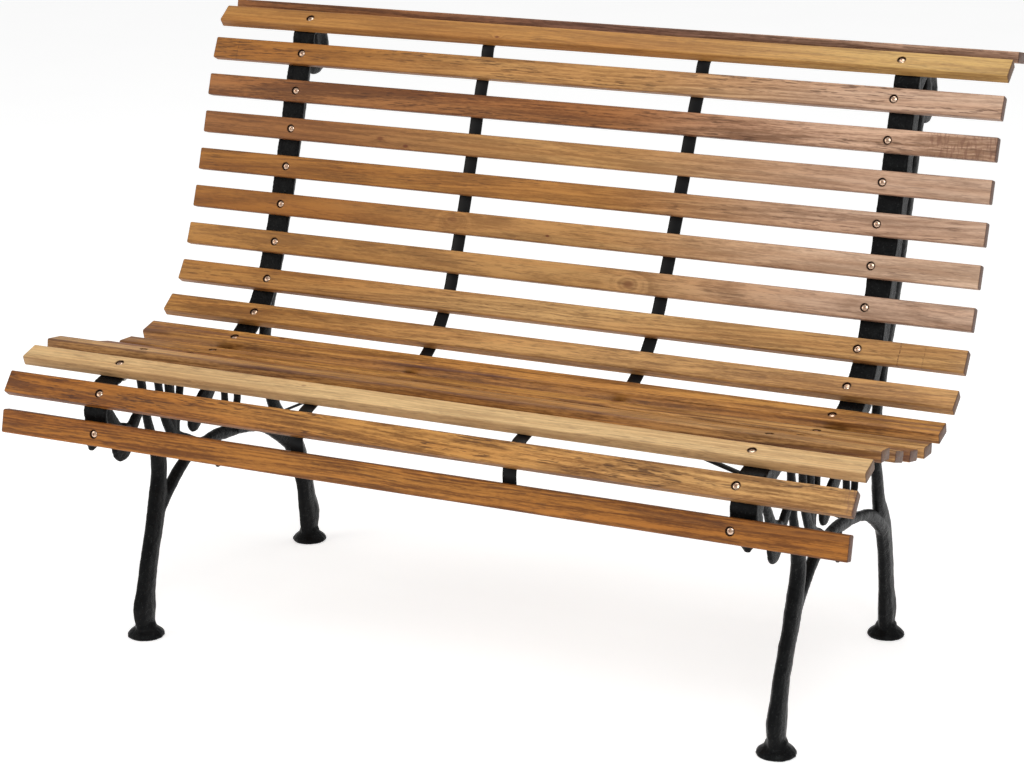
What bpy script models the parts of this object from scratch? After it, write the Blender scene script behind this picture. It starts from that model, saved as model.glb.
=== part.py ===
"""Slatted park bench: timber slats on two cast-iron end frames.

Metres, +Z up.  X runs along the slats, the seat faces -Y, and the origin is
under the middle of the bounding box at floor level.
"""
import math

import bmesh
import bpy
from mathutils import Matrix, Vector

# ---- driving dimensions -------------------------------------------------
BENCH_WIDTH = 1.270
SLAT_WIDTH = 0.034
SLAT_THICK = 0.016
SLAT_EDGE_RADIUS = 0.0035
SLAT_END_BEVEL = 0.0012
CLEARANCE = 0.0003
CUT_MARGIN = 0.0020

# The slat line: outer face of the lowest front slat, then one heading from
# each slat to the next, in degrees above the horizontal going rearwards.
FIRST_SLAT = (-0.3740, 0.3533)
APRON_PITCH = 0.0580
SEAT_PITCH = 0.0625
BACK_PITCH = 0.0590
SEAT_HEADINGS = (72, 30, 4, -18, -15, -10, 5, 24)
BACK_HEADINGS = (47, 64, 69, 71, 72, 73, 69, 59, 12)
FIRST_TILT = 77.0
LAST_TILT = -11.0
SEAT_SLATS = 8

SCREW_X = 0.4785
SCREW_HEAD_RADIUS = 0.0050
SCREW_HEAD_HEIGHT = 0.0036
SCREW_SHANK_RADIUS = 0.0029
SCREW_HOLE_RADIUS = 0.0033
COUNTERBORE_RADIUS = 0.0063
COUNTERBORE_DEPTH = 0.0046
SCREW_TAIL = 0.0090

RAIL_INNER_X = 0.4703
RAIL_OUTER_X = 0.5062
RAIL_THICK = 0.0060
RIB_THICK = 0.0090
RIB_DEPTH = 0.0270
RAIL_OVERRUN = 0.0010

STRAP_LEFT_X = (-0.1580, -0.1740, -0.1660)
STRAP_RIGHT_X = (0.1615, 0.1640, 0.1860)
STRAP_WIDTH = 0.0200
STRAP_THICK = 0.0030

FOOT_RADIUS = 0.0280
FRONT_FOOT = (0.4980, -0.2380)
REAR_FOOT = (0.4930, 0.2350)
WEB_X = 0.5013

STAY_LOW = (0.4890, 0.0260, 0.2490)
STAY_BEND_X = 0.2220
STAY_END_X = 0.1900
STAY_SLAT = 5
STAY_WIDTH = 0.0120
STAY_THICK = 0.0040

IRON_COLOR = (0.016, 0.016, 0.018, 1.0)
WOOD_COLOR = (0.42, 0.22, 0.09, 1.0)
BRASS_COLOR = (0.62, 0.44, 0.26, 1.0)

COLLECTION_NAME = "park_bench"


# ---- small helpers ------------------------------------------------------
def make_material(name, color, roughness, metallic):
    material = bpy.data.materials.new(name)
    material.use_nodes = True
    shader = material.node_tree.nodes["Principled BSDF"]
    shader.inputs["Base Color"].default_value = color
    shader.inputs["Roughness"].default_value = roughness
    shader.inputs["Metallic"].default_value = metallic
    material.diffuse_color = color
    return material


def face_outwards(work):
    """Turn the faces of a closed body the same way, and that way out."""
    bmesh.ops.recalc_face_normals(work, faces=work.faces)
    if work.calc_volume(signed=True) < 0.0:
        bmesh.ops.reverse_faces(work, faces=work.faces)


def bmesh_object(name, work):
    """Turn a finished bmesh into an object, with its faces outwards."""
    face_outwards(work)
    mesh = bpy.data.meshes.new(name)
    work.to_mesh(mesh)
    work.free()
    item = bpy.data.objects.new(name, mesh)
    bpy.context.scene.collection.objects.link(item)
    return item


def loft(name, rings, closed=False):
    """Skin a row of equal rings; the ends are capped unless it is a loop."""
    count = len(rings[0])
    work = bmesh.new()
    vertices = [work.verts.new(point) for ring in rings for point in ring]
    last = len(rings) if closed else len(rings) - 1
    for i in range(last):
        low = i * count
        high = ((i + 1) % len(rings)) * count
        for j in range(count):
            k = (j + 1) % count
            corners = (low + j, low + k, high + k, high + j)
            work.faces.new([vertices[corner] for corner in corners])
    if not closed:
        work.faces.new(vertices[:count])
        work.faces.new(vertices[-count:])
    return bmesh_object(name, work)


def spline(points, steps):
    """Catmull-Rom curve through rows of numbers, with `steps` per span."""
    rows = [Vector(p) for p in points]
    first = rows[0] * 2 - rows[1]
    last = rows[-1] * 2 - rows[-2]
    rows = [first] + rows + [last]
    result = []
    for i in range(1, len(rows) - 2):
        a, b, c, d = rows[i - 1:i + 3]
        for step in range(steps):
            t = step / steps
            result.append(0.5 * ((2 * b) + (c - a) * t
                                 + (2 * a - 5 * b + 4 * c - d) * t * t
                                 + (3 * b - 3 * c + d - a) * t * t * t))
    result.append(rows[-2].copy())
    return result


def limb(name, stations, steps=3, sides=8):
    """Oval limb in a plane across X.

    Each station is (x, y, z, half width in the plane, half thickness in X).
    """
    centres = spline([row[:3] for row in stations], steps)
    halves = spline([(row[3], row[4], 0.0) for row in stations], steps)
    rings = []
    for i, centre in enumerate(centres):
        before = centres[max(i - 1, 0)]
        after = centres[min(i + 1, len(centres) - 1)]
        along = after - before
        along.x = 0.0
        along.normalize()
        across = Vector((0.0, -along.z, along.y))
        ring = []
        for j in range(sides):
            angle = 2 * math.pi * (j + 0.5) / sides
            ring.append(centre + across * halves[i][0] * math.cos(angle)
                        + Vector((halves[i][1] * math.sin(angle), 0, 0)))
        rings.append(ring)
    return loft(name, rings)


def hoop(name, x, y, z, half_y, half_z, band, thick, lean=0.0, count=16):
    """Closed oval ring standing in a plane across X."""
    rings = []
    for i in range(count):
        angle = 2 * math.pi * i / count
        out = Vector((0, math.cos(angle) * half_y, math.sin(angle) * half_z))
        normal = Vector((0, math.cos(angle) / half_y, math.sin(angle) / half_z))
        normal.normalize()
        out.y += lean * out.z
        ring = []
        for j in range(6):
            turn = 2 * math.pi * (j + 0.5) / 6
            ring.append(Vector((x, y, z)) + out + normal * band * math.cos(turn)
                        + Vector((thick * math.sin(turn), 0, 0)))
        rings.append(ring)
    return loft(name, rings, closed=True)


def turned(name, origin, axis, profile, sides):
    """Solid of revolution; the profile is rows of (radius, height)."""
    work = bmesh.new()
    points = [work.verts.new((radius, 0.0, height)) for radius, height in profile]
    edges = [work.edges.new(pair) for pair in zip(points, points[1:])]
    bmesh.ops.spin(work, geom=points + edges, cent=(0, 0, 0), axis=(0, 0, 1),
                   angle=2 * math.pi, steps=sides, use_merge=True)
    bmesh.ops.holes_fill(work, edges=work.edges)
    turn = Vector((0, 0, 1)).rotation_difference(Vector(axis).normalized())
    work.transform(Matrix.Translation(Vector(origin)) @ turn.to_matrix().to_4x4())
    return bmesh_object(name, work)


def combine(base, others, operation):
    """Apply exact Booleans one after another and drop the other objects."""
    for other in others:
        modifier = base.modifiers.new("combine", "BOOLEAN")
        modifier.operation = operation
        modifier.solver = "EXACT"
        modifier.object = other
        graph = bpy.context.evaluated_depsgraph_get()
        result = bpy.data.meshes.new_from_object(base.evaluated_get(graph))
        base.modifiers.clear()
        base.data = result
        bpy.data.objects.remove(other)
    return base


def clean(item):
    """Merge touching points and drop slivers the Booleans leave."""
    work = bmesh.new()
    work.from_mesh(item.data)
    bmesh.ops.remove_doubles(work, verts=work.verts, dist=1e-5)
    bmesh.ops.triangulate(work, faces=work.faces)
    face_outwards(work)
    work.to_mesh(item.data)
    work.free()


def finish(item, name, material, collection):
    for owner in list(item.users_collection):
        owner.objects.unlink(item)
    collection.objects.link(item)
    item.name = name
    item.data.name = name
    item.data.materials.clear()
    item.data.materials.append(material)


# ---- the slat line ------------------------------------------------------
def slat_line():
    """Outer-face centre and tilt of every slat, front to top."""
    headings = [math.radians(h) for h in SEAT_HEADINGS + BACK_HEADINGS]
    y, z = FIRST_SLAT
    centres = [(y, z)]
    for i, heading in enumerate(headings):
        pitch = SEAT_PITCH if i < len(SEAT_HEADINGS) else BACK_PITCH
        if i == 0:
            pitch = APRON_PITCH
        y += pitch * math.cos(heading)
        z += pitch * math.sin(heading)
        centres.append((y, z))
    tilts = [math.radians(FIRST_TILT)]
    for before, after in zip(headings, headings[1:]):
        tilts.append((before + after) / 2)
    tilts.append(math.radians(LAST_TILT))
    return [(c[0], c[1], t) for c, t in zip(centres, tilts)]


def slat_axes(tilt):
    """Direction up the slat line and the direction the face looks."""
    up = Vector((0.0, math.cos(tilt), math.sin(tilt)))
    out = Vector((0.0, -math.sin(tilt), math.cos(tilt)))
    return up, out


def backing_line(line, overrun):
    """Points and outward normals just behind the slats, flat at each one."""
    depth = SLAT_THICK + CLEARANCE
    flats = []
    for y, z, tilt in line:
        up, out = slat_axes(tilt)
        middle = Vector((0.0, y, z)) - out * depth
        reach = up * (SLAT_WIDTH * 0.5)
        flats.append((middle - reach, middle + reach, up, out))
    stations = [(flats[0][0] - flats[0][2] * overrun, flats[0][3])]
    for i, (start, end, up, out) in enumerate(flats):
        stations.append((start, out))
        stations.append((end, out))
        if i + 1 < len(flats):
            after = flats[i + 1]
            span = (after[0] - end).length * 0.35
            bow = (up - after[2]) * span * 0.36
            normal = (out + after[3]).normalized()
            stations.append(((end + after[0]) / 2 + bow, normal))
    stations.append((flats[-1][1] + flats[-1][2] * overrun, flats[-1][3]))
    return stations


# ---- pieces -------------------------------------------------------------
def make_slat(y, z, tilt):
    """Board with rounded long edges and a counterbored hole near each end."""
    up, out = slat_axes(tilt)
    centre = Vector((0.0, y, z))
    half = BENCH_WIDTH / 2
    work = bmesh.new()
    bmesh.ops.create_cube(work, size=1.0)
    bmesh.ops.scale(work, vec=(BENCH_WIDTH, SLAT_WIDTH, SLAT_THICK), verts=work.verts)
    long_edges = [e for e in work.edges if e.calc_length() > half]
    bmesh.ops.bevel(work, geom=long_edges, offset=SLAT_EDGE_RADIUS, segments=2,
                    profile=0.5, affect="EDGES")
    end_edges = [e for e in work.edges if e.calc_length() < half]
    bmesh.ops.bevel(work, geom=end_edges, offset=SLAT_END_BEVEL, segments=1,
                    affect="EDGES")
    turn = Matrix((Vector((1, 0, 0)), up, out)).transposed().to_4x4()
    work.transform(Matrix.Translation(centre - out * (SLAT_THICK / 2)) @ turn)
    slat = bmesh_object("slat", work)
    profile = ((SCREW_HOLE_RADIUS, -SLAT_THICK - CUT_MARGIN),
               (SCREW_HOLE_RADIUS, -COUNTERBORE_DEPTH),
               (COUNTERBORE_RADIUS, -COUNTERBORE_DEPTH),
               (COUNTERBORE_RADIUS, CUT_MARGIN))
    cutters = [turned("cutter", centre + Vector((x, 0, 0)), out, profile, 10)
               for x in (-SCREW_X, SCREW_X)]
    combine(slat, cutters, "DIFFERENCE")
    clean(slat)
    return slat


def make_screw(x, y, z, tilt):
    up, out = slat_axes(tilt)
    origin = Vector((x, y, z))
    seat = -COUNTERBORE_DEPTH + CLEARANCE
    tail = -(SLAT_THICK + RAIL_THICK + SCREW_TAIL)
    top = seat + SCREW_HEAD_HEIGHT
    profile = ((SCREW_SHANK_RADIUS, tail), (SCREW_SHANK_RADIUS, seat),
               (SCREW_HEAD_RADIUS, seat), (SCREW_HEAD_RADIUS, top - 0.0014),
               (SCREW_HEAD_RADIUS * 0.50, top))
    return turned("screw", origin, out, profile, 8)


def sweep(name, stations, section):
    """Sweep rows of (x, depth behind the line) along the backing line."""
    rings = []
    for point, out in stations:
        rings.append([point - out * depth + Vector((x, 0, 0))
                      for x, depth in section])
    return loft(name, rings)


def make_strap(line, side):
    """Thin flat strap behind the slats, fixed a little askew as on the real bench."""
    front, turn, top = STRAP_LEFT_X if side < 0 else STRAP_RIGHT_X
    stations = backing_line(line, -0.006)
    rings = []
    for i, (point, out) in enumerate(stations):
        part = 2 * i / (len(stations) - 1)
        if part < 1:
            middle = front + (turn - front) * part
        else:
            middle = turn + (top - turn) * (part - 1)
        ring = []
        for a, depth in ((-1, 0.0), (-1, STRAP_THICK), (1, STRAP_THICK), (1, 0.0)):
            x = middle + a * STRAP_WIDTH / 2
            ring.append(point - out * depth + Vector((x, 0, 0)))
        rings.append(ring)
    return loft("strap", rings)


def make_stay(line, side):
    """Flat bar from the stretcher up to a tab under one of the seat slats."""
    y, z, tilt = line[STAY_SLAT]
    up, out = slat_axes(tilt)
    under = Vector((0, y, z)) - out * (SLAT_THICK + CLEARANCE + STAY_THICK / 2)
    bend = under + up * 0.0140 - out * 0.0015 + Vector((STAY_BEND_X, 0, 0))
    end = under - up * 0.0010 - out * 0.0003 + Vector((STAY_END_X, 0, 0))
    low = Vector(STAY_LOW)
    foot = low - Vector((0, 0, 0.0060))
    across = Vector((0.0, 1.0, 0.0))
    steep = Vector((0.45, 0.0, 1.0)).normalized()
    route = ((foot, Vector((1, 0, 0)), across), (low, Vector((1, 0, 0.5)).normalized(), across),
             (bend, (out + steep).normalized(), (up + across).normalized()), (end, out, up))
    rings = []
    for point, normal, wide in route:
        ring = []
        for a, n in ((-1, -1), (1, -1), (1, 1), (-1, 1)):
            corner = point + wide * (a * STAY_WIDTH / 2) + normal * (n * STAY_THICK / 2)
            corner.x *= side
            ring.append(corner)
        rings.append(ring)
    return loft("stay", rings)


def make_foot(x, y, top_radius):
    profile = ((FOOT_RADIUS - 0.0015, 0.0), (FOOT_RADIUS, 0.0020),
               (FOOT_RADIUS - 0.0010, 0.0050), (FOOT_RADIUS - 0.0060, 0.0095),
               (top_radius + 0.0010, 0.0140), (top_radius, 0.0200))
    return turned("foot", (x, y, 0.0), (0, 0, 1), profile, 14)


def front_leg(side):
    """Leg that thins above the fork into a branch up to the rail."""
    x, y = FRONT_FOOT
    rows = ((x, y, 0.008, 0.0165, 0.0105), (x, y - 0.001, 0.022, 0.0200, 0.0110),
            (x, -0.2390, 0.045, 0.0255, 0.0118), (x, -0.2335, 0.070, 0.0210, 0.0102),
            (x, -0.2220, 0.110, 0.0195, 0.0098), (0.4995, -0.2040, 0.155, 0.0190, 0.0098),
            (0.5005, -0.1895, 0.198, 0.0195, 0.0102), (WEB_X, -0.1825, 0.230, 0.0155, 0.0098),
            (WEB_X, -0.1805, 0.258, 0.0165, 0.0090), (WEB_X, -0.1930, 0.290, 0.0100, 0.0066),
            (WEB_X, -0.2050, 0.322, 0.0075, 0.0056), (WEB_X, -0.2130, 0.360, 0.0075, 0.0054),
            (WEB_X, -0.2200, 0.404, 0.0085, 0.0050))
    return limb("front_leg", mirrored(rows, side), 2, 10)


def rear_leg(side):
    """Leg that runs on upwards behind the rail as a long branch."""
    x, y = REAR_FOOT
    rows = ((x, y, 0.008, 0.0165, 0.0105), (x, y, 0.022, 0.0210, 0.0110),
            (x, 0.2370, 0.043, 0.0270, 0.0118), (x, 0.2300, 0.070, 0.0225, 0.0102),
            (x, 0.2240, 0.105, 0.0212, 0.0098), (0.4945, 0.2100, 0.150, 0.0205, 0.0098),
            (0.4965, 0.1880, 0.192, 0.0215, 0.0100), (0.4990, 0.1610, 0.228, 0.0150, 0.0088),
            (WEB_X, 0.1420, 0.270, 0.0120, 0.0074), (WEB_X, 0.1280, 0.320, 0.0130, 0.0070),
            (WEB_X, 0.1290, 0.375, 0.0145, 0.0066), (WEB_X, 0.1490, 0.430, 0.0135, 0.0064),
            (WEB_X, 0.1770, 0.492, 0.0145, 0.0062), (WEB_X, 0.2010, 0.550, 0.0140, 0.0062),
            (WEB_X, 0.2200, 0.605, 0.0145, 0.0062), (WEB_X, 0.2400, 0.662, 0.0140, 0.0062),
            (WEB_X, 0.2570, 0.715, 0.0145, 0.0062), (WEB_X, 0.2720, 0.760, 0.0130, 0.0062),
            (WEB_X, 0.2790, 0.795, 0.0100, 0.0060))
    return limb("rear_leg", mirrored(rows, side), 2, 8)


def stretcher(side):
    """Arched branch that ties the front leg to the rear one."""
    x = 0.4995
    rows = ((x, -0.1860, 0.1840, 0.0115, 0.0088), (x, -0.1640, 0.2030, 0.0105, 0.0088),
            (x, -0.1310, 0.2270, 0.0098, 0.0082), (x, -0.0950, 0.2440, 0.0090, 0.0076),
            (x, -0.0450, 0.2520, 0.0085, 0.0074), (x, 0.0000, 0.2490, 0.0110, 0.0074),
            (x, 0.0450, 0.2420, 0.0075, 0.0070), (x, 0.0950, 0.2320, 0.0080, 0.0072),
            (x, 0.1380, 0.2140, 0.0110, 0.0080), (x, 0.1820, 0.1840, 0.0120, 0.0084))
    return limb("stretcher", mirrored(rows, side), 2, 8)


def scroll(side):
    """Volute that carries the rail on over the top and curls in behind."""
    x = side * WEB_X
    rows = []
    turns = 13
    for i in range(turns):
        part = i / (turns - 1)
        angle = math.radians(62 - 395 * part)
        radius = 0.03345 - 0.0215 * part
        centre_y = 0.3050 - 0.0020 * part
        centre_z = 0.7960 - 0.0100 * part
        rows.append((x, centre_y + radius * math.cos(angle),
                     centre_z + radius * math.sin(angle),
                     0.0130 - 0.0040 * part, 0.0054))
    return limb("scroll", rows, 2, 6)


def scroll_bud(side):
    """Bud that fills the middle of the volute."""
    x = side * WEB_X
    rows = ((x, 0.3070, 0.7840, 0.0110, 0.0050), (x, 0.3060, 0.8000, 0.0160, 0.0058),
            (x, 0.3030, 0.8150, 0.0150, 0.0056), (x, 0.3010, 0.8260, 0.0080, 0.0048))
    return limb("scroll_bud", rows, 2, 6)


def mirrored(rows, side):
    return [(row[0] * side,) + tuple(row[1:]) for row in rows]


def ornament(side):
    """Branches, hanging leaves and a loop that fill the frame under the seat."""
    x = WEB_X
    shapes = (
        # branch rising forwards from the stretcher, then up to the rail
        ((x, -0.0480, 0.2490, 0.0065, 0.0058), (x, -0.0740, 0.2550, 0.0070, 0.0058),
         (x, -0.1020, 0.2670, 0.0080, 0.0058), (x, -0.1330, 0.2800, 0.0110, 0.0056),
         (x, -0.1570, 0.3120, 0.0095, 0.0054), (x, -0.1700, 0.3500, 0.0080, 0.0054),
         (x, -0.1780, 0.3990, 0.0075, 0.0050)),
        # two props from its knee up to the rail
        ((x, -0.1380, 0.2860, 0.0090, 0.0050), (x, -0.1420, 0.3220, 0.0095, 0.0052),
         (x, -0.1440, 0.3600, 0.0100, 0.0054), (x, -0.1460, 0.3900, 0.0090, 0.0050)),
        ((x, -0.1320, 0.2830, 0.0075, 0.0050), (x, -0.1270, 0.3120, 0.0065, 0.0050),
         (x, -0.1170, 0.3480, 0.0070, 0.0052), (x, -0.1140, 0.3860, 0.0070, 0.0048)),
        # front leaf, hanging in a fork of two arms
        ((x, -0.2700, 0.2830, 0.0110, 0.0040), (x, -0.2710, 0.2920, 0.0230, 0.0054),
         (x, -0.2700, 0.3080, 0.0290, 0.0058), (x, -0.2660, 0.3260, 0.0270, 0.0056),
         (x, -0.2630, 0.3360, 0.0200, 0.0052)),
        ((x, -0.3180, 0.3800, 0.0075, 0.0046), (x, -0.2990, 0.3560, 0.0095, 0.0050),
         (x, -0.2830, 0.3320, 0.0125, 0.0054)),
        ((x, -0.2490, 0.3230, 0.0120, 0.0054), (x, -0.2350, 0.3350, 0.0110, 0.0052),
         (x, -0.2150, 0.3560, 0.0095, 0.0050)),
        # middle leaf, hanging from one broad arm
        ((x, -0.0830, 0.2740, 0.0070, 0.0040), (x, -0.0820, 0.2830, 0.0180, 0.0054),
         (x, -0.0760, 0.2970, 0.0210, 0.0056), (x, -0.0520, 0.3170, 0.0190, 0.0054),
         (x, -0.0280, 0.3360, 0.0160, 0.0052), (x, -0.0220, 0.3600, 0.0130, 0.0048)),
        # bud under the stretcher
        ((x, -0.0230, 0.2480, 0.0070, 0.0056), (x, -0.0215, 0.2280, 0.0095, 0.0056),
         (x, -0.0205, 0.2110, 0.0085, 0.0052), (x, -0.0205, 0.1985, 0.0035, 0.0030)),
        # pointed tail of the rail below the lowest slat
        ((0.4946, -0.3465, 0.3500, 0.0060, 0.0100), (0.4946, -0.3505, 0.3370, 0.0060, 0.0108),
         (0.4952, -0.3540, 0.3290, 0.0050, 0.0082), (0.4962, -0.3565, 0.3220, 0.0030, 0.0035)),
    )
    parts = [limb("branch", mirrored(rows, side), 2, 6) for rows in shapes]
    parts.append(hoop("loop", side * x, 0.0240, 0.3160, 0.0190, 0.0590, 0.0062, 0.0054))
    return parts


def make_end_frame(line, side):
    inner = side * RAIL_INNER_X
    outer = side * RAIL_OUTER_X
    rib = side * (RAIL_OUTER_X - RIB_THICK)
    section = ((inner, 0.0), (outer, 0.0), (outer, RIB_DEPTH), (rib, RIB_DEPTH),
               (rib, RAIL_THICK), (inner, RAIL_THICK))
    frame = sweep("rail", backing_line(line, RAIL_OVERRUN), section)
    x_front, y_front = FRONT_FOOT
    x_rear, y_rear = REAR_FOOT
    members = [front_leg(side), rear_leg(side), stretcher(side), scroll(side),
               scroll_bud(side)]
    members += ornament(side)
    members.append(make_foot(side * x_front, y_front, 0.0150))
    members.append(make_foot(side * x_rear, y_rear, 0.0150))
    combine(frame, members, "UNION")
    holes = []
    for y, z, tilt in line:
        up, out = slat_axes(tilt)
        profile = ((SCREW_HOLE_RADIUS, -SLAT_THICK - RAIL_THICK - 0.004),
                   (SCREW_HOLE_RADIUS, -SLAT_THICK + 0.002))
        origin = Vector((side * SCREW_X, y, z))
        holes.append(turned("hole", origin, out, profile, 8))
    combine(frame, holes, "DIFFERENCE")
    clean(frame)
    return frame


def centre_depth(items):
    """Slide everything so the middle of the depth is at Y = 0."""
    low = min(v.co.y for item in items for v in item.data.vertices)
    high = max(v.co.y for item in items for v in item.data.vertices)
    shift = -(low + high) / 2
    for item in items:
        for vertex in item.data.vertices:
            vertex.co.y += shift
        item.data.update()
    return shift


def main():
    for item in list(bpy.data.objects):
        bpy.data.objects.remove(item)
    collection = bpy.data.collections.new(COLLECTION_NAME)
    bpy.context.scene.collection.children.link(collection)
    line = slat_line()
    made = []
    for i, (y, z, tilt) in enumerate(line):
        seat = i < SEAT_SLATS
        number = i + 1 if seat else i + 1 - SEAT_SLATS
        name = ("seat_slat_" if seat else "back_slat_") + "%02d" % number
        made.append((make_slat(y, z, tilt), name, "wood"))
    for side, word in ((-1, "left"), (1, "right")):
        made.append((make_end_frame(line, side), "end_frame_" + word, "iron"))
        made.append((make_strap(line, side), "slat_strap_" + word, "iron"))
        made.append((make_stay(line, side), "seat_stay_" + word, "iron"))
        for i, (y, z, tilt) in enumerate(line):
            name = "slat_screw_%s_%02d" % (word, i + 1)
            made.append((make_screw(side * SCREW_X, y, z, tilt), name, "brass"))
    looks = {"wood": (WOOD_COLOR, 0.55, 0.0), "iron": (IRON_COLOR, 0.42, 0.0),
             "brass": (BRASS_COLOR, 0.32, 1.0)}
    for item, name, look in made:
        material = make_material(name + "_material", *looks[look])
        finish(item, name, material, collection)
    shift = centre_depth([item for item, name, look in made])
    print("depth shift", round(shift, 5))


main()
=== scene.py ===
"""Looks of the slatted park bench: timber, cast iron, fasteners, floor and light.

Metres, +Z up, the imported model's own frame.  The seat faces -Y.
"""
import math
import random
from collections import namedtuple

import bmesh
import bpy
from mathutils import Matrix, Vector, noise


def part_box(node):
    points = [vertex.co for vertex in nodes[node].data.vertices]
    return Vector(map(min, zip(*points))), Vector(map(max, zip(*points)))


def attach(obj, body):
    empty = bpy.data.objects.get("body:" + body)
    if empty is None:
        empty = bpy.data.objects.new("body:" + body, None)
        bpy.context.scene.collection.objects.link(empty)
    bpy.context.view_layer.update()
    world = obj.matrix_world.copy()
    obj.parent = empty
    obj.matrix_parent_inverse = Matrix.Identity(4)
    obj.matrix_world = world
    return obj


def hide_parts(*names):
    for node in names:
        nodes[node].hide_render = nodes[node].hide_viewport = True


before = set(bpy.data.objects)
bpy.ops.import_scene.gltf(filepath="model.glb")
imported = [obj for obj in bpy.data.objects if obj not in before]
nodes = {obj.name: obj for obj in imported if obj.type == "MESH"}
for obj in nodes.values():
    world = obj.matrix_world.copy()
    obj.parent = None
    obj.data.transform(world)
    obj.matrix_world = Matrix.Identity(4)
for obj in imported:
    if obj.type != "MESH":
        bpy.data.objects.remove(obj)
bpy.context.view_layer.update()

# ---- driving values -----------------------------------------------------
SLAT_EDGE_RADIUS = 0.0028
SLAT_END_RADIUS = 0.0012
SLAT_CUTS = 40
SLAT_WOBBLE = 0.00035
HOLE_RADIUS = 0.0033
HOLE_SIDES = 32
COUNTERBORE_RADIUS = 0.0063
COUNTERBORE_DEPTH = 0.0046
CUT_MARGIN = 0.002
GAP = 0.0003
WELD_DISTANCE = 1e-6

SCREW_HEAD_RADIUS = 0.0052
SCREW_HEAD_HEIGHT = 0.0035
SCREW_SHANK_RADIUS = 0.0028
SCREW_TAIL = 0.0088
THREAD_PITCH = 0.0010
THREAD_LENGTH = 0.013
SCREW_SIDES = 24
NUT_ACROSS = 0.0100
NUT_HEIGHT = 0.0050
NUT_CHAMFER = 0.0006
WASHER_RADIUS = 0.0064
WASHER_THICK = 0.0012
WASHER_SIDES = 28
RAIL_THICK = 0.0060
STRAP_THICK = 0.0030
STRAP_SCREW_RADIUS = 0.0036
STRAP_SCREW_HEIGHT = 0.0018
STRAP_SCREW_SHANK = 0.0016
STRAP_SCREW_LENGTH = 0.010
STRAP_SEARCH = 0.024
BAR_EDGE_RADIUS = 0.0008

IRON_VOXEL = 0.0022
IRON_SMOOTHING = 4
IRON_SWELL = 0.0006
IRON_LUMPS = 0.0007

FLOOR_SIZE = 30.0
FLOOR_GLOW = 0.52
SKY_STRENGTH = 0.50
# Studio lights: name, place, what it aims at, size, power, colour.
LIGHTS = (
    ("key", (1.6, -2.6, 3.2), (0.1, 0.0, 0.5), 1.6, 60.0, (0.95, 0.98, 1.0)),
    ("fill", (-2.8, -2.2, 2.0), (0.0, 0.0, 0.5), 2.0, 22.0, (1.0, 0.96, 0.88)),
    ("top", (0.0, 0.4, 3.4), (0.0, 0.1, 0.4), 2.0, 30.0, (1.0, 0.99, 0.96)),
)

CAMERA_PLACE = Vector((1.6238, -3.3107, 1.4641))
CAMERA_AZIMUTH = 26.12
CAMERA_ELEVATION = 16.17
CAMERA_ROLL = -0.25
CAMERA_LENS = 93.83
SENSOR_WIDTH = 36.0

# Timber tones, as sRGB out of 255, and what each board is like: tones at its
# left end, middle and right end, dark streaks, open pores, the cut, from 0 for
# a quarter-sawn board to 1 for a flat-sawn one, and how strong its figure is.
# The paler, pinker tones at the right ends are partly the wood's own and partly painted
# light, standing for light falling from the right.
TONES = {
    "tawny": (143, 88, 32), "amber": (152, 99, 42), "honey": (168, 118, 60),
    "teak": (178, 134, 82), "wheat": (190, 148, 96), "sand": (208, 173, 124),
    "straw": (186, 148, 88), "rose": (184, 152, 130), "blush": (198, 166, 142),
    "chestnut": (142, 92, 50), "walnut": (128, 92, 74),
}
BROWN_STREAK = (86, 50, 28)
PLUM_STREAK = (98, 66, 58)
PORE_TONE = (62, 34, 20)
KNOT_TONE = (98, 44, 22)
CRACK_TONE = (70, 36, 24)
RIPPLE_TONE = (112, 74, 58)
END_DARK_TONE = (46, 24, 15)
END_PALE_TONE = (94, 54, 34)
HOLE_RIM_TONE = (66, 38, 22)
# Painted shade on the counterbore walls, darker than the wood, standing for the shade
# inside each hole.
HOLE_WALL_SHADE_TONE = (52, 31, 20)
# Factors on a board's tone, as linear colours.
DARK_FIGURE = (0.50, 0.43, 0.36, 1.0)
PALE_FIGURE = (1.38, 1.42, 1.42, 1.0)
REDDER = (0.98, 0.88, 0.80, 1.0)
# Darkening factor for the painted shade on a board's sides and back.
SIDE_AND_BACK_SHADE = (0.66, 0.58, 0.56, 1.0)
# Places along a board where its left, middle and right tones are reached; the change
# between them is partly the wood's own and partly painted light from the right.
TONE_AND_LIGHT_PLACES = (-0.48, 0.02, 0.50)
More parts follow.
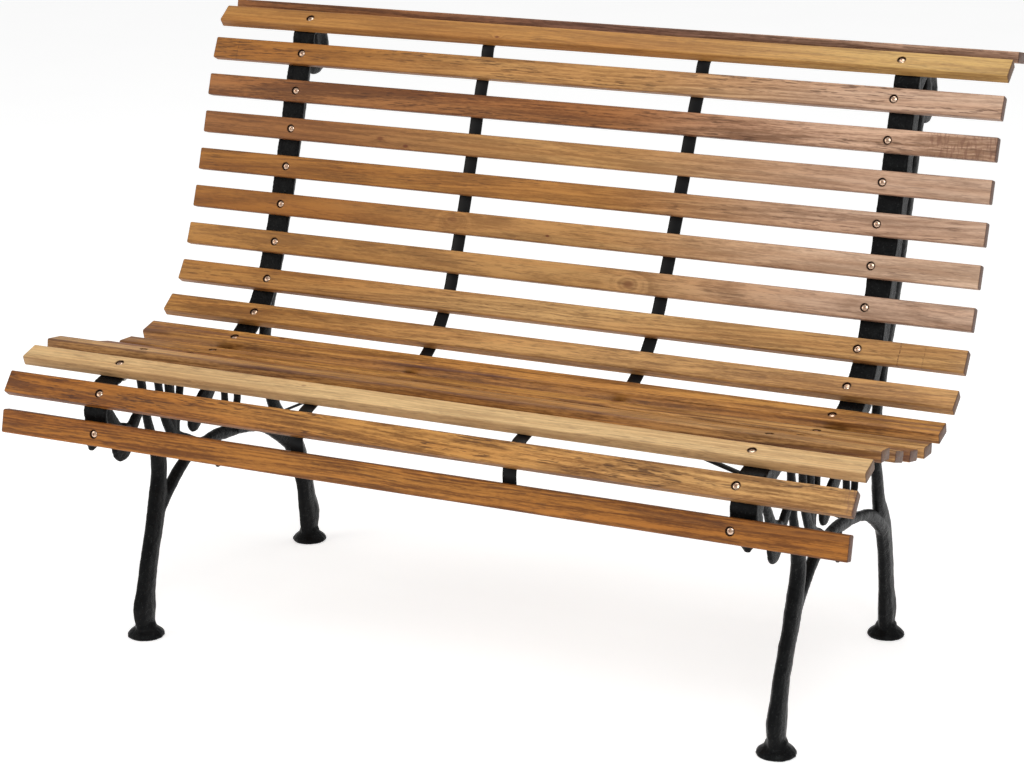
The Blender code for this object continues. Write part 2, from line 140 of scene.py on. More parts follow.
# Boards whose streaks are plum; the others have brown ones.
PLUM_BOARDS = ("seat_slat_04", "seat_slat_05", "seat_slat_06", "seat_slat_07",
               "seat_slat_08")
BOARDS = {
    "seat_slat_01": ("tawny", "amber", "tawny", 0.45, 0.4, 0.2, 1.1),
    "seat_slat_02": ("tawny", "honey", "teak", 0.40, 1.0, 0.6, 1.1),
    "seat_slat_03": ("sand", "sand", "sand", 0.00, 0.1, 0.3, 0.4),
    "seat_slat_04": ("teak", "honey", "teak", 0.60, 0.3, 0.3, 1.1),
    "seat_slat_05": ("honey", "honey", "wheat", 0.60, 0.4, 0.5, 1.1),
    "seat_slat_06": ("tawny", "teak", "honey", 0.70, 0.4, 0.3, 1.1),
    "seat_slat_07": ("honey", "honey", "teak", 0.70, 0.4, 0.4, 1.1),
    "seat_slat_08": ("honey", "honey", "honey", 0.75, 0.3, 0.7, 1.1),
    "back_slat_01": ("honey", "teak", "teak", 0.15, 0.3, 0.8, 0.8),
    "back_slat_02": ("honey", "wheat", "teak", 0.10, 0.3, 0.4, 0.6),
    "back_slat_03": ("honey", "teak", "rose", 0.10, 0.2, 0.9, 0.6),
    "back_slat_04": ("amber", "teak", "blush", 0.08, 0.2, 0.8, 0.55),
    "back_slat_05": ("amber", "honey", "rose", 0.12, 0.4, 0.5, 0.6),
    "back_slat_06": ("chestnut", "teak", "rose", 0.08, 0.1, 0.2, 0.5),
    "back_slat_07": ("chestnut", "chestnut", "rose", 0.35, 0.7, 0.9, 0.9),
    "back_slat_08": ("amber", "teak", "rose", 0.08, 0.8, 0.4, 0.6),
    "back_slat_09": ("honey", "honey", "straw", 0.05, 0.1, 0.6, 0.5),
    "back_slat_10": ("chestnut", "walnut", "rose", 0.60, 0.5, 0.5, 1.0),
}
# Knots: board, place along it, place across it, radius, depth of colour.
KNOTS = (
    ("back_slat_03", 0.120, -0.005, 0.0060, 0.55),
    ("back_slat_04", -0.020, -0.006, 0.0020, 0.90),
    ("back_slat_04", -0.180, 0.004, 0.0060, 0.30),
    ("back_slat_06", -0.320, -0.003, 0.0035, 0.55),
    ("back_slat_06", -0.275, -0.011, 0.0030, 0.80),
    ("back_slat_09", -0.150, -0.012, 0.0025, 0.85),
    ("back_slat_10", -0.300, 0.006, 0.0080, 0.90),
    ("seat_slat_08", -0.400, 0.010, 0.0030, 0.70),
    ("seat_slat_07", 0.178, 0.012, 0.0070, 0.65),
    ("seat_slat_07", -0.150, 0.010, 0.0060, 0.60),
    ("seat_slat_03", -0.180, 0.006, 0.0025, 0.45),
)
# Fine cracks across a board: board, place along it, depth of colour.
CRACKS = (("back_slat_02", 0.5375, 0.75), ("back_slat_02", 0.5730, 0.40),
          ("back_slat_08", -0.5950, 0.50))
# Boards whose grain ripples beyond this place along them.
RIPPLES = {"back_slat_07": 0.525, "seat_slat_02": 0.610}
# Noise drawn out along the grain: scale along it, scale across it, detail, and
# the noise values between which the feature goes from none to full.
LAYERS = {
    "fibres": (13.0, 300.0, 4.0, 0.28, 0.72),
    "flecks": (95.0, 620.0, 2.0, 0.34, 0.66),
    "blotch": (6.0, 34.0, 3.0, 0.32, 0.68),
    "hue": (2.4, 48.0, 2.0, 0.38, 0.64),
    "pores": (36.0, 430.0, 2.0, 0.54, 0.62),
    "patches": (7.0, 50.0, 1.0, 0.36, 0.56),
    "streak": (2.0, 78.0, 3.0, 0.52, 0.66),
}
BROAD_RING_SCALE = 190.0
FINE_RING_SCALE = 620.0
# Bands in from a board's edge, over which painted shade on its sides fades in, and from
# its end, over which its end grain fades in.
SIDE_SHADE_BAND = (0.0022, 0.0004)
END_BAND = (0.0012, 0.0004)
# Depths below the board's front face past which its back is darkened with painted shade.
BACK_SHADE_BAND = (-0.0150, -0.0125)

Section = namedtuple("Section", "middle up out width thick")


# ---- shader helpers -----------------------------------------------------
def linear(rgb):
    """sRGB out of 255 to a linear colour with alpha."""
    parts = []
    for value in rgb:
        part = value / 255.0
        part = part / 12.92 if part <= 0.04045 else ((part + 0.055) / 1.055) ** 2.4
        parts.append(part)
    return (*parts, 1.0)


class Shader:
    """A material's node tree, with one short method for each kind of node."""

    def __init__(self, name):
        self.material = bpy.data.materials.new(name)
        self.material.use_nodes = True
        self.tree = self.material.node_tree
        self.bsdf = self.tree.nodes["Principled BSDF"]
        self.coords = self.tree.nodes.new("ShaderNodeTexCoord")

    def put(self, socket, value):
        """Link a socket to a socket, or set a number or colour on it."""
        if isinstance(value, bpy.types.NodeSocket):
            self.tree.links.new(value, socket)
        elif value is not None:
            socket.default_value = value

    def node(self, kind, **inputs):
        made = self.tree.nodes.new(kind)
        for key, value in inputs.items():
            self.put(made.inputs[key], value)
        return made

    def math(self, operation, a, b=None, c=None):
        made = self.tree.nodes.new("ShaderNodeMath")
        made.operation = operation
        for socket, value in zip(made.inputs, (a, b, c)):
            self.put(socket, value)
        return made.outputs[0]

    def vector(self, operation, a, b=None):
        made = self.tree.nodes.new("ShaderNodeVectorMath")
        made.operation = operation
        self.put(made.inputs[0], a)
        self.put(made.inputs[1], b)
        return made.outputs[0]

    def split(self, vector):
        return self.node("ShaderNodeSeparateXYZ", Vector=vector).outputs

    def noise(self, vector, scale, detail=2.0, rough=0.5):
        made = self.node("ShaderNodeTexNoise", Vector=vector, Scale=scale,
                         Detail=detail, Roughness=rough)
        return made.outputs[0]

    def noise_line(self, along, scale, detail):
        made = self.tree.nodes.new("ShaderNodeTexNoise")
        made.noise_dimensions = "1D"
        self.put(made.inputs["W"], along)
        self.put(made.inputs["Scale"], scale)
        self.put(made.inputs["Detail"], detail)
        return made.outputs[0]

    def step(self, value, low, high, out_low=0.0, out_high=1.0):
        """Smooth step from out_low to out_high as value goes from low to high."""
        made = self.tree.nodes.new("ShaderNodeMapRange")
        made.interpolation_type = "SMOOTHSTEP"
        for key, number in zip(("Value", "From Min", "From Max", "To Min", "To Max"),
                               (value, low, high, out_low, out_high)):
            self.put(made.inputs[key], number)
        return made.outputs[0]

    def mix(self, factor, a, b, blend="MIX"):
        made = self.tree.nodes.new("ShaderNodeMix")
        made.data_type = "RGBA"
        made.blend_type = blend
        self.put(made.inputs[0], factor)
        self.put(made.inputs[6], a)
        self.put(made.inputs[7], b)
        return made.outputs[2]

    def bump(self, height, strength, distance):
        made = self.node("ShaderNodeBump", Height=height, Strength=strength,
                         Distance=distance)
        self.tree.links.new(made.outputs[0], self.bsdf.inputs["Normal"])

    def set(self, **inputs):
        """Feed the surface shader; an underscore stands for a space in a name."""
        for key, value in inputs.items():
            self.put(self.bsdf.inputs[key.replace("_", " ")], value)


# ---- timber -------------------------------------------------------------
def ellipse_field(shader, x, y, center_x, center_y, radius):
    """1 at a knot's middle, falling to 0 at its edge; longer along the grain."""
    across = shader.math("DIVIDE", shader.math("SUBTRACT", y, center_y), radius)
    along = shader.math("DIVIDE", shader.math("SUBTRACT", x, center_x), radius * 1.7)
    square = shader.math("ADD", shader.math("MULTIPLY", across, across),
                         shader.math("MULTIPLY", along, along))
    return shader.math("EXPONENT", shader.math("MULTIPLY", square, -1.0))


def growth_rings(shader, place, moved, chance, cut_kind, knots):
    """Broad and fine rings about a slightly tilted pith beside or behind the board."""
    x, y, z = place
    behind = -0.030 - 0.050 * cut_kind
    beside = chance.choice((-1, 1)) * (0.070 * (1.0 - cut_kind) + 0.004)
    lean = chance.choice((-1, 1)) * chance.uniform(0.010, 0.026)
    warp = shader.noise(shader.vector("MULTIPLY", moved, (2.6, 22.0, 22.0)), 1.0)
    wander = shader.noise_line(x, 3.2, 2.0)
    off_y = shader.math("MULTIPLY_ADD", wander, 0.016,
                        shader.math("SUBTRACT", y, beside))
    off_z = shader.math("SUBTRACT", z, behind)
    square = shader.math("ADD", shader.math("MULTIPLY", off_y, off_y),
                         shader.math("MULTIPLY", off_z, off_z))
    reach = shader.math("MULTIPLY_ADD", x, lean, shader.math("SQRT", square))
    reach = shader.math("MULTIPLY_ADD", warp, 0.009, reach)
    for knot_x, knot_y, radius, _ in knots:
        near = ellipse_field(shader, x, y, knot_x, knot_y, radius * 2.4)
        reach = shader.math("MULTIPLY_ADD", near, radius * 1.6, reach)
    reach = shader.math("ADD", reach, chance.uniform(1.0, 9.0))
    broad = shader.noise_line(reach, BROAD_RING_SCALE, 1.0)
    fine = shader.noise_line(reach, FINE_RING_SCALE, 2.0)
    return shader.step(broad, 0.34, 0.66), shader.step(fine, 0.30, 0.70)


def cross_marks(shader, color, name, place):
    """Cracks that cross the grain, and rippled figure near a board's end."""
    x, y, _ = place
    crooked = shader.noise_line(y, 160.0, 2.0)
    broken = shader.step(shader.noise_line(y, 420.0, 1.0), 0.42, 0.55)
    for board, crack_x, depth in CRACKS:
        if board != name:
            continue
        crack = shader.math("MULTIPLY_ADD", crooked, 0.004, crack_x)
        away = shader.math("ABSOLUTE", shader.math("SUBTRACT", x, crack))
        line = shader.step(away, 0.0003, 0.0013, depth, 0.0)
        color = shader.mix(shader.math("MULTIPLY", line, broken), color,
                           linear(CRACK_TONE))
    if name in RIPPLES:
        wave = shader.noise(shader.vector("MULTIPLY", shader.coords.outputs["Object"],
                                          (240.0, 60.0, 60.0)), 1.0, 2.0)
        near_end = shader.step(x, RIPPLES[name], RIPPLES[name] + 0.025, 0.0, 0.55)
        wave = shader.math("MULTIPLY", shader.step(wave, 0.45, 0.62), near_end)
        color = shader.mix(wave, color, linear(RIPPLE_TONE))
    return color


def timber(name, half_length, half_width, screw_x):
    """Oiled timber for one board, with its own rings, figure, pores and marks, a
    left-to-right tone that is partly painted light, and painted shade on its sides, back
    and counterbore walls.
    """
    left, middle, right, streaks, open_pores, cut_kind, strength = BOARDS[name]
    streak_tone = PLUM_STREAK if name in PLUM_BOARDS else BROWN_STREAK
    chance = random.Random(name)
    shift = (chance.uniform(2, 9), chance.uniform(2, 9), chance.uniform(2, 9))
    shader = Shader(name + "_timber")
    place = shader.split(shader.coords.outputs["Object"])
    x, y, _ = place
    moved = shader.vector("ADD", shader.coords.outputs["Object"], shift)
    knots = [knot[1:] for knot in KNOTS if knot[0] == name]
    broad, fine = growth_rings(shader, place, moved, chance, cut_kind, knots)

    def layer(kind, top=1.0):
        along, across, detail, low, high = LAYERS[kind]
        value = shader.noise(shader.vector("MULTIPLY", moved, (along, across, across)),
                             1.0, detail, 0.6)
        return shader.step(value, low, high, 0.0, top)

    fibres = layer("fibres")
    # Tone from left to right along the board: partly the wood's own, partly painted light
    # falling from the right.
    start, centre, finish = TONE_AND_LIGHT_PLACES
    tone = shader.mix(shader.step(x, start, centre), linear(TONES[left]),
                      linear(TONES[middle]))
    tone = shader.mix(shader.step(x, centre, finish), tone, linear(TONES[right]))
    figure = shader.math("MULTIPLY", broad, 0.22)
    for part, share in ((fine, 0.15), (fibres, 0.25), (layer("flecks"), 0.14),
                        (layer("blotch"), 0.24)):
        figure = shader.math("MULTIPLY_ADD", part, share, figure)
    figure = shader.step(figure, 0.22, 0.78, 0.5 - 0.5 * strength,
                         0.5 + 0.5 * strength)
    dark = shader.mix(1.0, tone, DARK_FIGURE, "MULTIPLY")
    pale = shader.mix(1.0, tone, PALE_FIGURE, "MULTIPLY")
    color = shader.mix(figure, dark, pale)
    red = shader.mix(1.0, color, REDDER, "MULTIPLY")
    color = shader.mix(shader.math("MULTIPLY", layer("hue"), 0.6), color, red)
    color = shader.mix(layer("streak", streaks), color, linear(streak_tone))
    pore = shader.math("MULTIPLY", layer("pores"), layer("patches"))
    pore = shader.math("MULTIPLY", pore, 0.20 + 0.55 * open_pores)
    color = shader.mix(pore, color, linear(PORE_TONE))
    for knot_x, knot_y, radius, depth in knots:
        core = ellipse_field(shader, x, y, knot_x, knot_y, radius)
        core = shader.step(core, 0.15, 0.85, 0.0, depth)
        color = shader.mix(core, color, linear(KNOT_TONE))
    color = cross_marks(shader, color, name, place)
    # End grain and hole rims, plus painted shade on the sides, back and counterbore
    # walls.
    color = ends_rims_and_painted_shade(shader, color, place, (half_length, half_width), screw_x)

    height = shader.math("MULTIPLY_ADD", fibres, 0.5, shader.math("MULTIPLY", pore, -1.2))
    height = shader.math("MULTIPLY_ADD", fine, 0.3, height)
    shader.bump(height, 0.45, 0.0003)
    rough = shader.math("MULTIPLY_ADD", fibres, 0.14, 0.42)
    shader.set(Base_Color=color, Roughness=rough)
    shader.bsdf.inputs["Specular IOR Level"].default_value = 0.28
    return shader.material


def ends_rims_and_painted_shade(shader, color, place, half_size, screw_x):
    """End grain, painted shade on the sides and back, dark rims at the screw holes, and
    painted shade on the counterbore walls.
    """
    x, y, z = place
    half_length, half_width = half_size
    # Painted shade: the board's long sides and its back are darkened as if in shadow.
    beside = shader.step(shader.math("ABSOLUTE", y), half_width - SIDE_SHADE_BAND[0],
                         half_width - SIDE_SHADE_BAND[1])
    beneath = shader.step(z, *BACK_SHADE_BAND, 1.0, 0.0)
    painted_shade = shader.math("MULTIPLY", shader.math("MAXIMUM", beside, beneath), 0.55)
    shade = shader.mix(1.0, color, SIDE_AND_BACK_SHADE, "MULTIPLY")
    color = shader.mix(painted_shade, color, shade)
    reach = shader.math("ABSOLUTE", x)
    end = shader.step(reach, half_length - END_BAND[0], half_length - END_BAND[1])
    rays = shader.noise(shader.vector("MULTIPLY", shader.coords.outputs["Object"],
                                      (0.0, 900.0, 260.0)), 1.0)
    grain = shader.mix(shader.step(rays, 0.35, 0.65), linear(END_DARK_TONE),
                       linear(END_PALE_TONE))
    color = shader.mix(shader.math("MULTIPLY", end, 0.85), color, grain)
    from_hole = shader.math("SUBTRACT", reach, screw_x)
    square = shader.math("ADD", shader.math("MULTIPLY", from_hole, from_hole),
                         shader.math("MULTIPLY", y, y))
    span = shader.math("SQRT", square)
    rim = shader.step(span, COUNTERBORE_RADIUS + 0.0002, COUNTERBORE_RADIUS + 0.0016,
                      0.30, 0.0)
    color = shader.mix(rim, color, linear(HOLE_RIM_TONE))
    # Painted shade: the counterbore walls are darkened as the shade inside the hole.
    inside = shader.step(z, -0.0012, -0.0003, 1.0, 0.0)
    shaded_wall = shader.math("LESS_THAN", span, COUNTERBORE_RADIUS + 0.0001)
    return shader.mix(shader.math("MULTIPLY", inside, shaded_wall), color,
                      linear(HOLE_WALL_SHADE_TONE))


# ---- mesh helpers -------------------------------------------------------
def evaluated(item):
    """Swap an object's mesh for what its modifiers make of it."""
    graph = bpy.context.evaluated_depsgraph_get()
    mesh = bpy.data.meshes.new_from_object(item.evaluated_get(graph))
    item.modifiers.clear()
    item.data = mesh


def keep_inside(item, low, high):
    """Hold every vertex inside a box given in world coordinates."""
    back = item.matrix_world.inverted()
    for vertex in item.data.vertices:
        place = item.matrix_world @ vertex.co
        inner = Vector(min(max(p, a), b) for p, a, b in zip(place, low, high))
        if inner != place:
            vertex.co = back @ inner


def new_object(name, work):
    """Object made of a finished bmesh, with its faces outwards."""
    mesh = bpy.data.meshes.new(name)
    bmesh.ops.recalc_face_normals(work, faces=work.faces)
    work.to_mesh(mesh)
    work.free()
    item = bpy.data.objects.new(name, mesh)
    bpy.context.scene.collection.objects.link(item)
    return item


def smooth(item, angle):
    """Shade smooth, but for edges sharper than angle in degrees."""
    item.data.shade_smooth()
    item.data.set_sharp_from_angle(angle=math.radians(angle))


def lathe(profile, sides):
    """Solid of revolution about Z as a bmesh; profile rows are (radius, height)."""
    work = bmesh.new()
    points = [work.verts.new((radius, 0.0, height)) for radius, height in profile]
    edges = [work.edges.new(pair) for pair in zip(points, points[1:])]
    bmesh.ops.spin(work, geom=points + edges, cent=(0, 0, 0), axis=(0, 0, 1),
                   angle=2 * math.pi, steps=sides, use_merge=True)
    bmesh.ops.remove_doubles(work, verts=work.verts, dist=WELD_DISTANCE)
    bmesh.ops.holes_fill(work, edges=work.edges)
    return work


def cut(item, cutters):
    """Take each cutter out of item, and remove the cutters."""
    for cutter in cutters:
        modifier = item.modifiers.new("cut", "BOOLEAN")
        modifier.operation = "DIFFERENCE"
        modifier.solver = "EXACT"
        modifier.object = cutter
    evaluated(item)
    for cutter in cutters:
        bpy.data.objects.remove(cutter)


def section_of(node):
    """A slat's section: its middle, width and outward axes, width and thickness."""
    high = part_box(node.name)[1]
    ends = {(round(v.co.y, 5), round(v.co.z, 5)) for v in node.data.vertices
            if abs(v.co.x) > high[0] - 0.0003}
    mean_y = sum(p[0] for p in ends) / len(ends)
    mean_z = sum(p[1] for p in ends) / len(ends)
    yy = sum((p[0] - mean_y) ** 2 for p in ends)
    zz = sum((p[1] - mean_z) ** 2 for p in ends)
    yz = sum((p[0] - mean_y) * (p[1] - mean_z) for p in ends)
    angle = 0.5 * math.atan2(2 * yz, yy - zz)
    up = Vector((0.0, math.cos(angle), math.sin(angle)))
    out = Vector((0.0, -math.sin(angle), math.cos(angle)))
    along_up = [v.co.dot(up) for v in node.data.vertices]
    along_out = [v.co.dot(out) for v in node.data.vertices]
    middle = (up * (min(along_up) + max(along_up)) / 2
              + out * (min(along_out) + max(along_out)) / 2)
    return Section(middle, up, out, max(along_up) - min(along_up),
                   max(along_out) - min(along_out))


def placed(origin, up, out):
    """Matrix with X along the bench, Y along up and Z along out."""
    turn = Matrix((Vector((1, 0, 0)), up, out)).transposed().to_4x4()
    return Matrix.Translation(origin) @ turn


def make_slat(node, screw_x):
    """Board with rounded arrises, a slight wobble and two counterbored holes."""
    middle, up, out, width, thick = section_of(node)
    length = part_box(node.name)[1][0] * 2
    work = bmesh.new()
    bmesh.ops.create_cube(work, size=1.0)
    bmesh.ops.scale(work, vec=(length, width, thick), verts=work.verts)
    bmesh.ops.translate(work, vec=(0, 0, -thick / 2), verts=work.verts)
    long_edges = [e for e in work.edges if e.calc_length() > length / 2]
    bmesh.ops.bevel(work, geom=long_edges, offset=SLAT_EDGE_RADIUS, segments=5,
                    profile=0.5, affect="EDGES")
    end_edges = [e for e in work.edges if e.calc_length() < length / 2]
    bmesh.ops.bevel(work, geom=end_edges, offset=SLAT_END_RADIUS, segments=2,
                    profile=0.5, affect="EDGES")
    runs = [e for e in work.edges if e.calc_length() > length / 2]
    bmesh.ops.subdivide_edges(work, edges=runs, cuts=SLAT_CUTS, use_grid_fill=True)
    seed = Vector((random.Random(node.name).uniform(0, 50), 0, 0))
    for vertex in work.verts:
        point = Vector((vertex.co.x * 9, vertex.co.y * 40, vertex.co.z * 40))
        inward = 0.5 + 0.5 * noise.noise(point + seed)
        vertex.co.y *= 1 - SLAT_WOBBLE * inward / (width / 2)
        vertex.co.z -= SLAT_WOBBLE * inward * (vertex.co.z + thick / 2) / (thick / 2)
    slat = new_object(node.name + "_board", work)
    profile = ((HOLE_RADIUS, -thick - CUT_MARGIN), (HOLE_RADIUS, -COUNTERBORE_DEPTH),
               (COUNTERBORE_RADIUS, -COUNTERBORE_DEPTH), (COUNTERBORE_RADIUS, CUT_MARGIN))
    cutters = []
    for side in (-1, 1):
        cutter = new_object("cutter", lathe(profile, HOLE_SIDES))
        cutter.location.x = side * screw_x
        cutters.append(cutter)
    bpy.context.view_layer.update()
    cut(slat, cutters)
    smooth(slat, 40)
    slat.matrix_world = placed(middle + out * (thick / 2), up, out)
    keep_inside(slat, *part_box(node.name))
    slat.data.materials.clear()
    slat.data.materials.append(timber(node.name, length / 2, width / 2, screw_x))
    finish_piece(slat, "oiled_timber", node.name)


def finish_piece(piece, slot, *replaced):
    """Fix a piece to the body and hide the CAD nodes it replaces; the slot argument is
    not used.
    """
    bpy.context.view_layer.update()
    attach(piece, "root")
    if replaced:
        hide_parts(*replaced)


# ---- metals -------------------------------------------------------------
def iron_material():
    """Black satin paint over sand-cast iron, with lighter specks painted in as glints."""
    shader = Shader("black_cast_iron")
    place = shader.coords.outputs["Object"]
    grain = shader.noise(place, 900.0, 3.0, 0.65)
    pits = shader.noise(place, 330.0, 2.0, 0.6)
    lumps = shader.noise(place, 70.0, 2.0, 0.5)
    dust = shader.step(lumps, 0.45, 0.72)
    color = shader.mix(dust, (0.0026, 0.0028, 0.0032, 1.0),
                       (0.0052, 0.0056, 0.0058, 1.0))
    # Painted glints: lighter specks where the pits and the fine grain meet.
    glint_specks = shader.math("MULTIPLY", shader.step(pits, 0.56, 0.70),
                       shader.step(grain, 0.45, 0.62))
    color = shader.mix(shader.math("MULTIPLY", glint_specks, 0.75), color,
                       (0.040, 0.043, 0.042, 1.0))
    rough = shader.math("MULTIPLY_ADD", grain, 0.26, 0.20)
    height = shader.math("MULTIPLY_ADD", pits, 0.8, shader.math("MULTIPLY", grain, 0.35))
    height = shader.math("MULTIPLY_ADD", lumps, 1.6, height)
    shader.bump(height, 0.8, 0.0012)
    shader.set(Base_Color=color, Roughness=rough)
    shader.bsdf.inputs["Specular IOR Level"].default_value = 0.09
    return shader.material


def steel_material():
    """Black satin paint on flat steel bar."""
    shader = Shader("black_painted_steel")
    place = shader.coords.outputs["Object"]
    peel = shader.noise(place, 420.0, 2.0)
    blotch = shader.noise(place, 30.0, 2.0)
    color = shader.mix(blotch, (0.0045, 0.0046, 0.0052, 1.0),
                       (0.0080, 0.0080, 0.0086, 1.0))
    shader.bsdf.inputs["Specular IOR Level"].default_value = 0.14
    shader.bump(peel, 0.15, 0.0002)
    shader.set(Base_Color=color,
               Roughness=shader.math("MULTIPLY_ADD", blotch, 0.16, 0.32))
    return shader.material


def brass_material():
    """Bronze-toned screw metal, brighter where a driver has rubbed it."""
    shader = Shader("bronzed_brass")
    place = shader.coords.outputs["Object"]
    scratch = shader.noise(shader.vector("MULTIPLY", place, (300.0, 2600.0, 2600.0)), 1.0)
    stain = shader.noise(place, 420.0, 2.0)
    color = shader.mix(stain, (0.50, 0.31, 0.20, 1.0), (0.86, 0.66, 0.52, 1.0))
    shader.bump(scratch, 0.12, 0.0002)
    shader.set(Base_Color=color,
               Roughness=shader.math("MULTIPLY_ADD", scratch, 0.22, 0.16))
    shader.bsdf.inputs["Metallic"].default_value = 1.0
    return shader.material


def zinc_material():
    """Dull zinc on nuts and washers."""
    shader = Shader("dull_zinc")
    spangle = shader.noise(shader.coords.outputs["Object"], 700.0, 2.0)
    color = shader.mix(spangle, (0.30, 0.30, 0.29, 1.0), (0.52, 0.52, 0.50, 1.0))
    shader.set(Base_Color=color,
               Roughness=shader.math("MULTIPLY_ADD", spangle, 0.25, 0.30))
    shader.bsdf.inputs["Metallic"].default_value = 1.0
    return shader.material


# ---- fasteners and iron -------------------------------------------------
def screw_mesh(name, head_radius, head_height, shank_radius, tail):
    """Pan-head cross screw, head seat at Z = 0, with a thread on its tail."""
    dome = [(head_radius * math.sin(math.radians(a)),
             head_height * (0.45 + 0.55 * math.cos(math.radians(a))))
            for a in range(0, 91, 15)]
    profile = [(max(radius, 0.00001), height) for radius, height in dome]
    profile += [(head_radius, head_height * 0.18), (head_radius * 0.94, 0.0),
                (shank_radius, 0.0)]
    thread_top = -tail + min(tail * 0.5, THREAD_LENGTH)
    turns = int((thread_top + tail) / THREAD_PITCH)
    for turn in range(turns):
        height = thread_top - turn * THREAD_PITCH
        profile += [(shank_radius, height),
                    (shank_radius * 0.80, height - THREAD_PITCH / 2)]
    profile += [(shank_radius * 0.80, -tail + 0.0004), (shank_radius * 0.55, -tail)]
    item = new_object(name, lathe(profile, SCREW_SIDES))
    bars = []
    for quarter in range(2):
        bar = bmesh.new()
        made = bmesh.ops.create_cube(bar, size=1.0)["verts"]
        depth = head_height * 0.62
        bmesh.ops.scale(bar, vec=(head_radius * 1.25, head_radius * 0.24, depth * 2),
                        verts=made)
        for vertex in made:
            if vertex.co.z < 0:
                vertex.co.x *= 0.45
                vertex.co.y *= 0.70
        bmesh.ops.rotate(bar, matrix=Matrix.Rotation(quarter * math.pi / 2, 3, "Z"),
                         verts=made)
        bmesh.ops.translate(bar, vec=(0, 0, head_height), verts=made)
        bars.append(new_object("bar", bar))
    bpy.context.view_layer.update()
    cut(item, bars)
    smooth(item, 38)
    mesh = item.data
    bpy.data.objects.remove(item)
    return mesh


def slat_screw(mesh, name, matrix, seat, node_name, material):
    """One slat screw, its head seated at height seat, turned its own way."""
    piece = bpy.data.objects.new(name, mesh)
    bpy.context.scene.collection.objects.link(piece)
    spin = random.Random(name).uniform(0, math.pi / 2)
    piece.matrix_world = (matrix @ Matrix.Translation((0, 0, seat))
                          @ Matrix.Rotation(spin, 4, "Z"))
    if not mesh.materials:
        mesh.materials.append(material)
    finish_piece(piece, "brass_screw", node_name)


def hex_nut(work, matrix):
    """Add one washer and chamfered nut to work, seated at Z = 0, going down."""
    made = bmesh.ops.create_cone(work, cap_ends=True, segments=WASHER_SIDES,
                                 radius1=WASHER_RADIUS, radius2=WASHER_RADIUS,
                                 depth=WASHER_THICK)["verts"]
    bmesh.ops.translate(work, vec=(0, 0, -WASHER_THICK / 2), verts=made)
    corner = NUT_ACROSS / math.sqrt(3)
    rings = ((-WASHER_THICK, 0.90), (-WASHER_THICK - NUT_CHAMFER, 1.0),
             (-WASHER_THICK - NUT_HEIGHT + NUT_CHAMFER, 1.0),
             (-WASHER_THICK - NUT_HEIGHT, 0.88))
    rows = []
    for height, share in rings:
        row = []
        for j in range(6):
            angle = j * math.pi / 3
            row.append(work.verts.new((corner * share * math.cos(angle),
                                       corner * share * math.sin(angle), height)))
        rows.append(row)
    for above, below in zip(rows, rows[1:]):
        for j in range(6):
            k = (j + 1) % 6
            work.faces.new((above[j], above[k], below[k], below[j]))
    work.faces.new(rows[0])
    work.faces.new(rows[-1])
    made = list(made) + [vertex for row in rows for vertex in row]
    bmesh.ops.transform(work, matrix=matrix, verts=made)


def cast_frame(node, material):
    """End frame recast as one smooth casting with filleted joints."""
    work = bmesh.new()
    work.from_mesh(node.data)
    bmesh.ops.remove_doubles(work, verts=work.verts, dist=WELD_DISTANCE)
    casting = new_object(node.name + "_casting", work)
    grid = casting.modifiers.new("grid", "REMESH")
    grid.mode = "VOXEL"
    grid.voxel_size = IRON_VOXEL
    evaluated(casting)
    relax = casting.modifiers.new("relax", "SMOOTH")
    relax.factor = 0.5
    relax.iterations = IRON_SMOOTHING
    evaluated(casting)
    mesh = casting.data
    moves = []
    for vertex in mesh.vertices:
        lump = noise.noise(vertex.co * 45) + 0.5 * noise.noise(vertex.co * 140)
        moves.append(vertex.co + vertex.normal * (IRON_SWELL + IRON_LUMPS * lump))
    for vertex, place in zip(mesh.vertices, moves):
        vertex.co = place
    keep_inside(casting, *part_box(node.name))
    mesh.shade_smooth()
    mesh.materials.clear()
    mesh.materials.append(material)
    finish_piece(casting, "black_iron", node.name)


def flat_bar(node, material):
    """Strap or stay with its hard edges eased."""
    work = bmesh.new()
    work.from_mesh(node.data)
    bmesh.ops.remove_doubles(work, verts=work.verts, dist=WELD_DISTANCE)
    bmesh.ops.dissolve_limit(work, angle_limit=math.radians(0.5), verts=work.verts,
                             edges=work.edges)
    sharp = [e for e in work.edges if len(e.link_faces) == 2
             and e.calc_face_angle() > math.radians(40)]
    bmesh.ops.bevel(work, geom=sharp, offset=BAR_EDGE_RADIUS, segments=2,
                    profile=0.5, affect="EDGES")
    bar = new_object(node.name + "_bar", work)
    smooth(bar, 30)
    bar.data.materials.append(material)
    finish_piece(bar, "black_steel", node.name)


# ---- building the bench -------------------------------------------------
iron = iron_material()
steel = steel_material()
brass = brass_material()
zinc = zinc_material()

slat_names = sorted(n for n in nodes if n.startswith("seat_slat"))
slat_names += sorted(n for n in nodes if n.startswith("back_slat"))
sections = {name: section_of(nodes[name]) for name in slat_names}
screw_low, screw_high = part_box("slat_screw_right_01")
screw_x = (screw_low[0] + screw_high[0]) / 2
slat_depth = sections[slat_names[0]].thick
main_screw = screw_mesh("slat_screw_mesh", SCREW_HEAD_RADIUS, SCREW_HEAD_HEIGHT,
                        SCREW_SHANK_RADIUS,
                        slat_depth - COUNTERBORE_DEPTH + RAIL_THICK + SCREW_TAIL)
small_screw = screw_mesh("strap_screw_mesh", STRAP_SCREW_RADIUS, STRAP_SCREW_HEIGHT,
                         STRAP_SCREW_SHANK, STRAP_SCREW_LENGTH)

for slat_name in slat_names:
    make_slat(nodes[slat_name], screw_x)

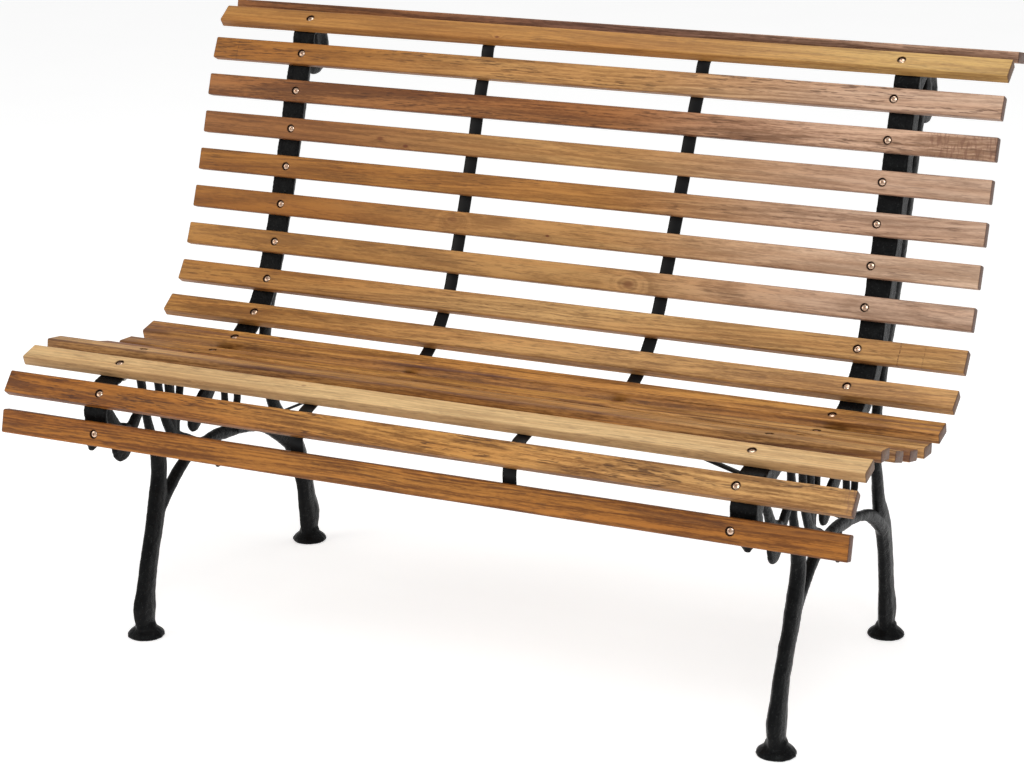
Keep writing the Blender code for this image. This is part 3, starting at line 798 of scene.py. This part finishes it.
for side, word in ((-1, "left"), (1, "right")):
    cast_frame(nodes["end_frame_" + word], iron)
    flat_bar(nodes["slat_strap_" + word], steel)
    flat_bar(nodes["seat_stay_" + word], steel)
    nuts = bmesh.new()
    strap_mesh = nodes["slat_strap_" + word].data
    for number, slat_name in enumerate(slat_names, 1):
        middle, up, out, _, thick = sections[slat_name]
        node_name = "slat_screw_%s_%02d" % (word, number)
        front = placed(middle + out * (thick / 2) + Vector((side * screw_x, 0, 0)),
                       up, out)
        slat_screw(main_screw, node_name + "_brass", front, -COUNTERBORE_DEPTH + GAP,
                   node_name, brass)
        behind = front @ Matrix.Translation((0, 0, -thick - RAIL_THICK - GAP))
        spin = random.Random(node_name).uniform(0, 1)
        hex_nut(nuts, behind @ Matrix.Rotation(spin, 4, "Z"))
    nut_item = new_object("nuts_and_washers_" + word, nuts)
    smooth(nut_item, 30)
    nut_item.data.materials.append(zinc)
    finish_piece(nut_item, "black_steel")

    strap_screws = bmesh.new()
    for slat_name in slat_names:
        middle, up, out, _, thick = sections[slat_name]
        near = [v.co.x for v in strap_mesh.vertices
                if (Vector((0, v.co.y, v.co.z)) - middle).length < STRAP_SEARCH]
        strap_x = (min(near) + max(near)) / 2
        back = placed(middle - out * (thick / 2 + GAP + STRAP_THICK)
                      + Vector((strap_x, 0, 0)), up, -out)
        spin = random.Random(slat_name + word).uniform(0, 1.5)
        copy = small_screw.copy()
        copy.transform(back @ Matrix.Rotation(spin, 4, "Z"))
        strap_screws.from_mesh(copy)
        bpy.data.meshes.remove(copy)
    strap_item = new_object("strap_screws_" + word, strap_screws)
    smooth(strap_item, 38)
    strap_item.data.materials.append(steel)
    finish_piece(strap_item, "black_steel")


# ---- floor, light and camera --------------------------------------------
def area_light(name, place, aim, size, power, color):
    data = bpy.data.lights.new(name, "AREA")
    data.shape = "DISK"
    data.size = size
    data.energy = power
    data.color = color
    item = bpy.data.objects.new(name, data)
    item.location = place
    ray = Vector(aim) - Vector(place)
    item.rotation_euler = ray.to_track_quat("-Z", "Y").to_euler()
    bpy.context.scene.collection.objects.link(item)


def make_floor():
    work = bmesh.new()
    bmesh.ops.create_grid(work, x_segments=1, y_segments=1, size=FLOOR_SIZE)
    floor = new_object("floor", work)
    shader = Shader("pale_floor")
    tone = shader.noise(shader.coords.outputs["Object"], 3.0, 2.0)
    color = shader.mix(tone, (0.80, 0.80, 0.80, 1.0), (0.83, 0.83, 0.83, 1.0))
    shader.set(Base_Color=color)
    shader.bsdf.inputs["Roughness"].default_value = 0.9
    shader.bsdf.inputs["Specular IOR Level"].default_value = 0.2
    shader.bsdf.inputs["Emission Color"].default_value = (1.0, 1.0, 1.0, 1.0)
    shader.bsdf.inputs["Emission Strength"].default_value = FLOOR_GLOW
    floor.data.materials.append(shader.material)


def make_world():
    world = bpy.data.worlds.new("studio")
    world.use_nodes = True
    background = world.node_tree.nodes["Background"]
    background.inputs["Color"].default_value = (1.0, 1.0, 1.0, 1.0)
    background.inputs["Strength"].default_value = SKY_STRENGTH
    bpy.context.scene.world = world


def make_camera():
    data = bpy.data.cameras.new("camera")
    data.lens = CAMERA_LENS
    data.sensor_width = SENSOR_WIDTH
    data.clip_start = 0.05
    camera = bpy.data.objects.new("camera", data)
    turn = (Matrix.Rotation(math.radians(CAMERA_AZIMUTH), 4, "Z")
            @ Matrix.Rotation(math.radians(90 - CAMERA_ELEVATION), 4, "X")
            @ Matrix.Rotation(math.radians(CAMERA_ROLL), 4, "Z"))
    camera.matrix_world = Matrix.Translation(CAMERA_PLACE) @ turn
    bpy.context.scene.collection.objects.link(camera)
    bpy.context.scene.camera = camera


make_floor()
make_world()
make_camera()
for light in LIGHTS:
    area_light(*light)
bpy.context.scene.view_settings.view_transform = "Standard"

bpy.context.view_layer.update()
